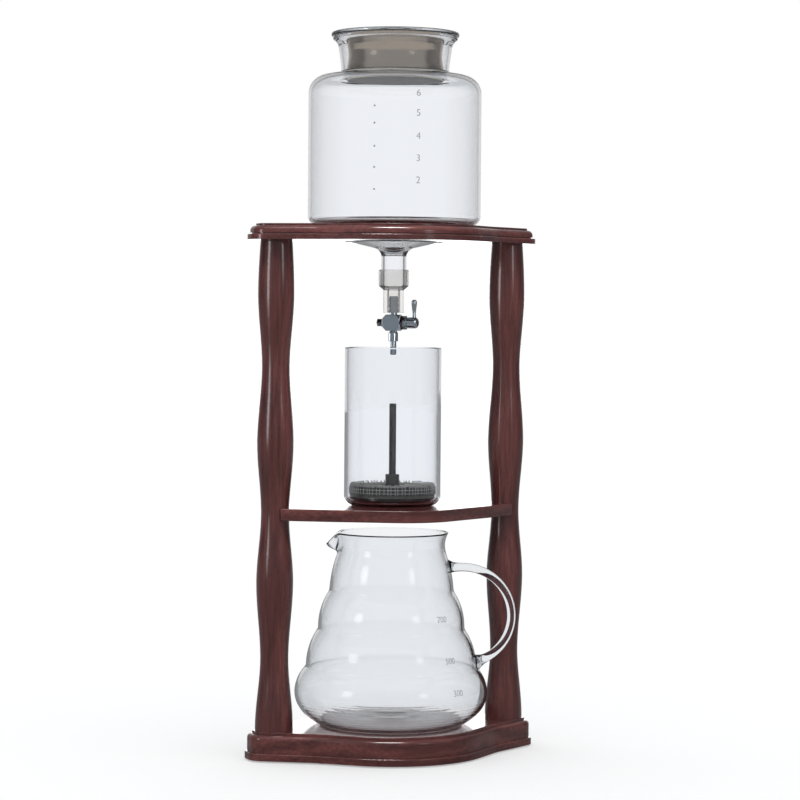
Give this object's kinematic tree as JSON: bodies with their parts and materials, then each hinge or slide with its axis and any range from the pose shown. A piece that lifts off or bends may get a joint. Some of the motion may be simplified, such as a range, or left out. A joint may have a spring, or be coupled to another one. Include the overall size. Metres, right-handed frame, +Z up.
{
  "type": "cold drip coffee tower",
  "caption": "Wooden tower that holds a glass water jar with a drip tap over a dripper glass with its filter, and a ribbed glass jug below.",
  "frame": {"origin": "centre of the stand, on the surface that its foot pads stand on", "axes": "+X along the stand to the right of someone facing its front, +Y to the back, +Z up"},
  "size_m": [0.202, 0.1304, 0.4785],
  "materials": {
    "stained_wood": "satin lacquer over red-brown stain",
    "beech_dowel": "bare",
    "pad_rubber": "matte",
    "screw_steel": "zinc plated",
    "clear_glass": "clear heat-resistant glass",
    "stopper_plastic": "taupe, glossy",
    "milky_silicone": "translucent milky silicone",
    "tap_metal": "plated",
    "seal_rubber": "matte",
    "filter_plastic": "smoky olive-grey, moulded",
    "filter_net": "fine woven net"
  },
  "bodies": {
    "stand": {"base_board": "stained_wood", "foot_pads": "pad_rubber", "base_screws": "screw_steel", "left_post": "stained_wood", "right_post": "stained_wood", "top_dowels": "beech_dowel", "shelf": "stained_wood", "shelf_dowels": "beech_dowel", "top_plate": "stained_wood"},
    "jar": {"water_jar": "clear_glass", "jar_neck": "clear_glass", "jar_funnel": "clear_glass", "outlet_joint": "milky_silicone", "tap_body": "tap_metal", "drip_nozzle": "tap_metal", "tap_gland": "tap_metal"},
    "lid": {"lid_cap": "clear_glass", "lid_stopper": "stopper_plastic", "lid_packing": "milky_silicone"},
    "lever": {"tap_plug": "tap_metal", "tap_oring": "seal_rubber", "tap_washer": "tap_metal", "tap_nut": "tap_metal", "tap_lever": "tap_metal"},
    "dripper": {"dripper_glass": "clear_glass"},
    "filter": {"filter_gasket": "seal_rubber", "filter_mesh": "filter_net", "filter_frame": "filter_plastic", "filter_stem": "filter_plastic"},
    "jug": {"jug_glass": "clear_glass", "jug_handle": "clear_glass"}
  },
  "joints": [
    {"name": "jar_lift", "type": "slide", "parent": "stand", "child": "jar", "axis": [0, 0, 1], "range_m": [0, 0.1]},
    {"name": "lid_lift", "type": "slide", "parent": "jar", "child": "lid", "axis": [0, 0, 1], "range_m": [0, 0.06]},
    {"name": "tap_turn", "type": "hinge", "parent": "jar", "child": "lever", "pos_m": [0, 0, 0.286], "axis": [0.6691, -0.7431, 0], "range_deg": [0, 90]},
    {"name": "dripper_lift", "type": "slide", "parent": "stand", "child": "dripper", "axis": [0, 0, 1], "range_m": [0, 0.014]},
    {"name": "filter_lift", "type": "slide", "parent": "dripper", "child": "filter", "axis": [0, 0, 1], "range_m": [0, 0.018]},
    {"name": "jug_slide", "type": "slide", "parent": "stand", "child": "jug", "axis": [0, -1, 0], "range_m": [0, 0.16]}
  ]
}
